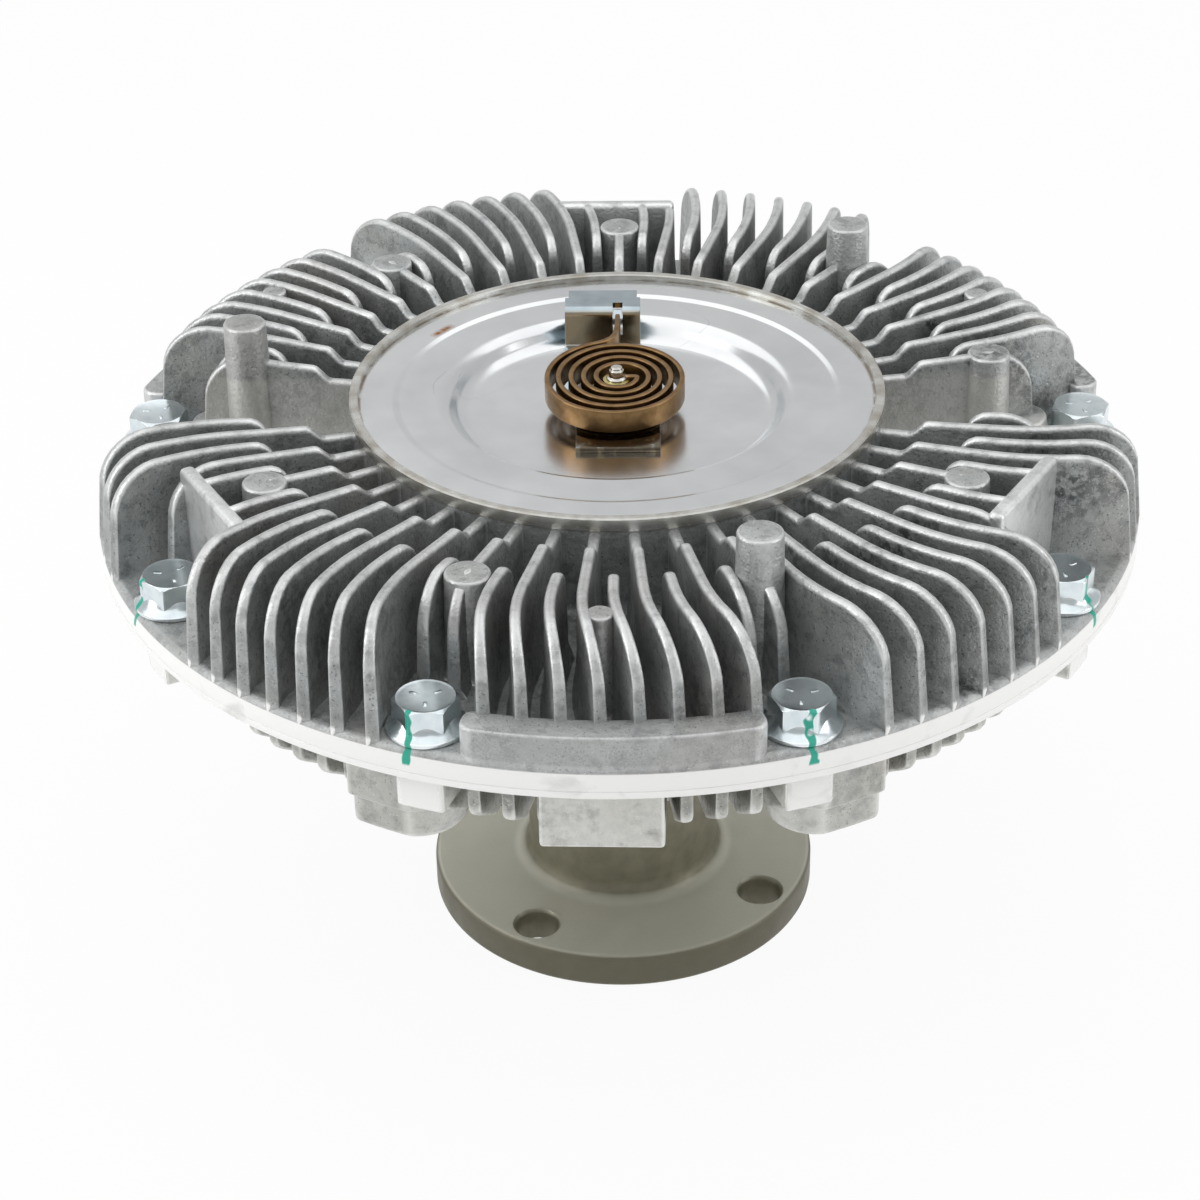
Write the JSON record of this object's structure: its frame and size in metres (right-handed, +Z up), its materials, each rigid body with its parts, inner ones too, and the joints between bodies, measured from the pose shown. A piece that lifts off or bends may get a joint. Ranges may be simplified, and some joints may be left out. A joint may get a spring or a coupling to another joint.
{
  "type": "viscous fan clutch",
  "caption": "Finned aluminium viscous fan clutch on a flanged drive shaft, with a bimetal coil that turns the fluid valve and threaded bosses for a cooling fan.",
  "frame": {"origin": "centre of the drive flange's lower face, on the turning axis", "axes": "+Z up along the turning axis from the drive face to the bimetal coil, front at -Y"},
  "size_m": [0.268, 0.268, 0.164],
  "materials": {
    "forged_steel": "matt phosphated",
    "bearing_steel": "ground",
    "rotor_alloy": "turned",
    "spring_steel": "oiled black",
    "cast_alloy": "as die cast, machined at the rim",
    "zinc_steel": "bright zinc plated",
    "plate_steel": "pressed, bright plated",
    "seal_rubber": "matt",
    "bush_brass": "turned",
    "bimetal": "heat-tinted strip",
    "spindle_steel": "yellow passivated"
  },
  "bodies": {
    "drive": {"drive_shaft": "forged_steel", "bearing_inner_ring": "bearing_steel", "rotor": "rotor_alloy", "rotor_circlip": "spring_steel"},
    "housing": {"rear_housing": "cast_alloy", "front_cover": "cast_alloy", "cover_bolts": "zinc_steel", "housing_seal": "seal_rubber", "bearing_outer_ring": "bearing_steel", "bearing_seal_lower": "seal_rubber", "bearing_seal_upper": "seal_rubber", "bearing_circlip": "spring_steel", "separator_plate": "plate_steel", "separator_rivets": "plate_steel", "front_plate": "plate_steel", "spindle_bush": "bush_brass", "spring_bracket": "zinc_steel", "bimetal_coil": "bimetal"},
    "ball_set": {"bearing_cage": "bush_brass", "bearing_balls": "bearing_steel"},
    "valve": {"valve_spindle": "spindle_steel", "valve_arm": "plate_steel", "spindle_seal": "seal_rubber"}
  },
  "joints": [
    {"name": "housing_spin", "type": "hinge", "parent": "drive", "child": "housing", "pos_m": [0, 0, 0.078], "axis": [0, 0, 1], "continuous": true},
    {"name": "ball_set_roll", "type": "hinge", "parent": "drive", "child": "ball_set", "pos_m": [0, 0, 0.078], "axis": [0, 0, 1], "continuous": true},
    {"name": "valve_turn", "type": "hinge", "parent": "housing", "child": "valve", "pos_m": [0, 0, 0.14], "axis": [0, 0, 1], "range_deg": [0, 35], "stiffness_Nm_per_rad": 0.3, "deforming": ["bimetal_coil"]}
  ],
  "couplings": [
    {"joint": "ball_set_roll", "follows": "housing_spin", "ratio": 0.598}
  ]
}
